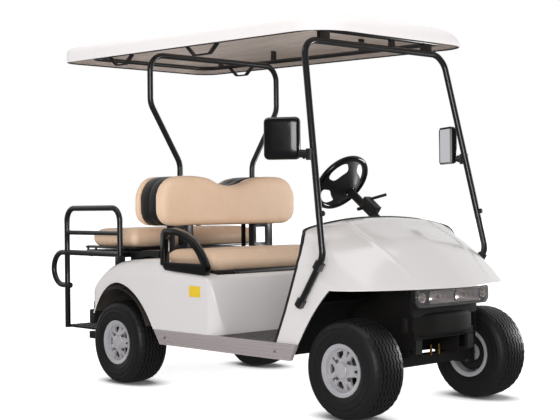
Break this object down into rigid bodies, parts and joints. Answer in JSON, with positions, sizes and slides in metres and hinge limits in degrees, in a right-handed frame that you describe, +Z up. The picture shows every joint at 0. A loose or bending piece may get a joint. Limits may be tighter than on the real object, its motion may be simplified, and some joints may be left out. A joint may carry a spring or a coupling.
{
  "type": "golf cart",
  "caption": "Open electric golf cart with a white body and roof, tan bench seats facing forward and back, handrails, mirrors, footplate and left-hand steering.",
  "frame": {"origin": "on the ground at the centre of the cart's outline", "axes": "+X forward, +Y to the driver's left, +Z up"},
  "size_m": [2.7519, 1.3471, 1.9259],
  "materials": {
    "body_white": "gloss",
    "roof_white": "gloss",
    "black_steel": "gloss",
    "black_plastic": "matte",
    "tyre": "matte",
    "rim_silver": "satin",
    "tan_vinyl": "satin",
    "aluminium": "satin",
    "rubber_mat": "matte",
    "clear_lens": "polished",
    "red_lens": "gloss",
    "mirror_glass": "polished",
    "chassis_black": "satin",
    "cast_metal": "cast"
  },
  "bodies": {
    "cart": {"chassis_rails": "chassis_black", "crossmembers": "chassis_black", "floor_mat": "rubber_mat", "battery_tray": "chassis_black", "battery_pack": "black_plastic", "rocker_panels": "aluminium", "steering_column": "black_plastic", "dash_panel": "black_plastic", "pedals": "black_steel", "front_axle": "chassis_black", "leaf_springs": "chassis_black", "rear_axle": "chassis_black", "drive_motor": "cast_metal", "front_cowl": "body_white", "front_shield": "black_plastic", "light_bar_housing": "black_plastic", "light_bar_lens": "clear_lens", "wheel_liners": "black_plastic", "rear_body": "body_white", "seat_pan": "black_plastic", "rear_bumper": "black_plastic", "tail_lamps": "red_lens", "roof_shell": "roof_white", "roof_frame": "black_steel", "roof_handles": "black_steel", "front_struts": "black_steel", "strut_clamps": "black_steel", "rear_struts": "black_steel", "mirror_arms": "black_steel", "mirror_housings": "black_plastic", "mirror_glasses": "mirror_glass", "seat_hinges": "black_steel", "seat_riser": "black_steel", "backrest_brackets": "black_steel", "backrest_shells": "black_plastic", "backrest_cushions": "tan_vinyl", "armrests": "black_plastic", "rear_seat_frame": "black_steel", "rear_handrails": "black_steel", "footplate": "aluminium"},
    "steering_wheel": {"steering_wheel": "black_plastic"},
    "knuckle_left": {"knuckle_left": "cast_metal"},
    "knuckle_right": {"knuckle_right": "cast_metal"},
    "tie_rod": {"tie_rod": "black_steel"},
    "front_seat": {"front_seat_board": "black_plastic", "front_seat_cushion": "tan_vinyl"},
    "rear_seat": {"rear_seat_deck": "black_steel", "rear_seat_cushion": "tan_vinyl"},
    "wheel_front_left": {"tyre_front_left": "tyre", "rim_front_left": "rim_silver"},
    "wheel_front_right": {"tyre_front_right": "tyre", "rim_front_right": "rim_silver"},
    "wheel_rear_left": {"tyre_rear_left": "tyre", "rim_rear_left": "rim_silver"},
    "wheel_rear_right": {"tyre_rear_right": "tyre", "rim_rear_right": "rim_silver"}
  },
  "joints": [
    {"name": "steering_turn", "type": "hinge", "parent": "cart", "child": "steering_wheel", "pos_m": [0.311, 0.27, 1.096], "axis": [-0.7986, 0, 0.6018], "range_deg": [-480, 480]},
    {"name": "steer_left", "type": "hinge", "parent": "cart", "child": "knuckle_left", "pos_m": [1.091, 0.355, 0.228], "axis": [0, 0, 1], "range_deg": [-30, 30]},
    {"name": "steer_right", "type": "hinge", "parent": "cart", "child": "knuckle_right", "pos_m": [1.091, -0.355, 0.228], "axis": [0, 0, 1], "range_deg": [-30, 30]},
    {"name": "tie_rod_pivot", "type": "hinge", "parent": "knuckle_right", "child": "tie_rod", "pos_m": [0.961, -0.325, 0.207], "axis": [0, 0, 1], "range_deg": [-30, 30]},
    {"name": "spin_front_left", "type": "hinge", "parent": "knuckle_left", "child": "wheel_front_left", "pos_m": [1.091, 0.4545, 0.228], "axis": [0, 1, 0], "continuous": true},
    {"name": "spin_front_right", "type": "hinge", "parent": "knuckle_right", "child": "wheel_front_right", "pos_m": [1.091, -0.4545, 0.228], "axis": [0, 1, 0], "continuous": true},
    {"name": "spin_rear_left", "type": "hinge", "parent": "cart", "child": "wheel_rear_left", "pos_m": [-0.609, 0.4825, 0.228], "axis": [0, 1, 0], "continuous": true},
    {"name": "spin_rear_right", "type": "hinge", "parent": "cart", "child": "wheel_rear_right", "pos_m": [-0.609, -0.4825, 0.228], "axis": [0, 1, 0], "continuous": true},
    {"name": "front_seat_lift", "type": "hinge", "parent": "cart", "child": "front_seat", "pos_m": [0.137, 0, 0.626], "axis": [0, 1, 0], "range_deg": [0, 70]},
    {"name": "rear_seat_fold", "type": "hinge", "parent": "cart", "child": "rear_seat", "pos_m": [-1.093, 0, 0.744], "axis": [0, -1, 0], "range_deg": [0, 180]}
  ],
  "couplings": [
    {"joint": "steer_left", "follows": "steering_turn", "ratio": 0.0625},
    {"joint": "steer_right", "follows": "steering_turn", "ratio": 0.0625},
    {"joint": "tie_rod_pivot", "follows": "steering_turn", "ratio": -0.0625}
  ]
}
